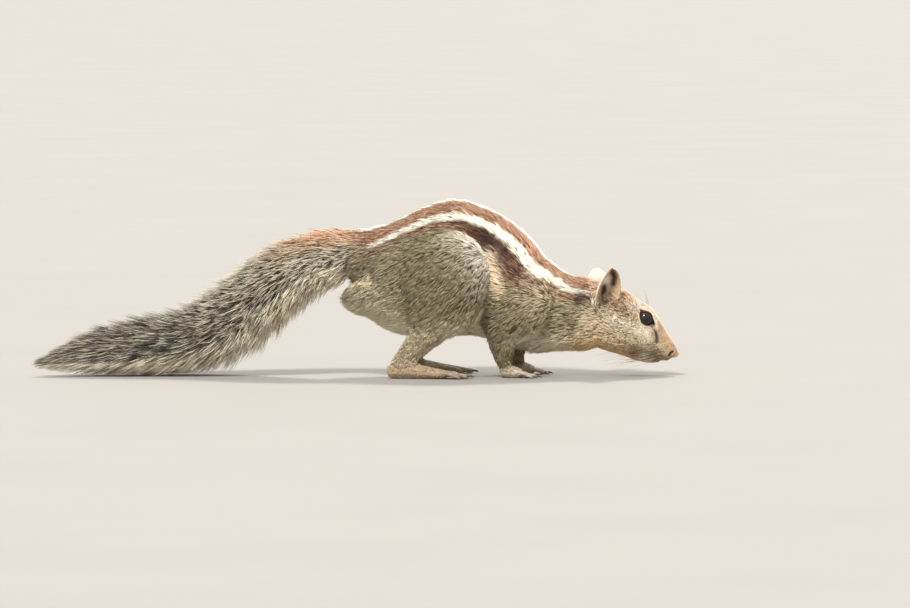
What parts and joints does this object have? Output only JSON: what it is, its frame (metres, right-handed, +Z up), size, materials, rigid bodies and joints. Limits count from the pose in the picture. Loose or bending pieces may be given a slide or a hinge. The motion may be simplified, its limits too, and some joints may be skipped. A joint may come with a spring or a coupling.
{
  "type": "squirrel model",
  "caption": "Life-size still model of a striped palm squirrel, crouched low with its head stretched forward and its bushy tail laid out behind on the floor.",
  "frame": {"origin": "middle of the bounding box at floor level, under the belly side of the tail root", "axes": "+X towards the nose, +Y to the animal's left, +Z up"},
  "size_m": [0.2574, 0.052, 0.071],
  "materials": {
    "back_fur": "short coat, reddish brown with pale stripes",
    "flank_fur": "short coat, grizzled grey-buff",
    "face_fur": "very short coat, buff and rufous",
    "tail_fur": "long banded hair, black and off-white",
    "foot_fur": "thin pale coat over the toes",
    "ear_skin": "thin skin with a fine pale down",
    "nose_skin": "bare damp skin, satin",
    "eye": "wet gloss",
    "claw": "horn, satin"
  },
  "bodies": {
    "root": {"ear_left": "ear_skin", "ear_right": "ear_skin", "eye_left": "eye", "eye_right": "eye", "fore_left_claw_1": "claw", "fore_left_claw_2": "claw", "fore_left_claw_3": "claw", "fore_left_claw_4": "claw", "fore_right_claw_1": "claw", "fore_right_claw_2": "claw", "fore_right_claw_3": "claw", "fore_right_claw_4": "claw", "forearm_left": "flank_fur", "forearm_right": "flank_fur", "forepaw_left": "foot_fur", "forepaw_right": "foot_fur", "head": "face_fur", "hind_foot_left": "foot_fur", "hind_foot_right": "foot_fur", "hind_left_claw_1": "claw", "hind_left_claw_2": "claw", "hind_left_claw_3": "claw", "hind_left_claw_4": "claw", "hind_left_claw_5": "claw", "hind_right_claw_1": "claw", "hind_right_claw_2": "claw", "hind_right_claw_3": "claw", "hind_right_claw_4": "claw", "hind_right_claw_5": "claw", "lower_jaw": "face_fur", "neck": "flank_fur", "nose": "nose_skin", "shank_left": "flank_fur", "shank_right": "flank_fur", "tail_middle": "tail_fur", "tail_root": "tail_fur", "tail_tip": "tail_fur", "thigh_left": "flank_fur", "thigh_right": "flank_fur", "trunk": "back_fur", "upper_arm_left": "flank_fur", "upper_arm_right": "flank_fur"}
  },
  "joints": []
}
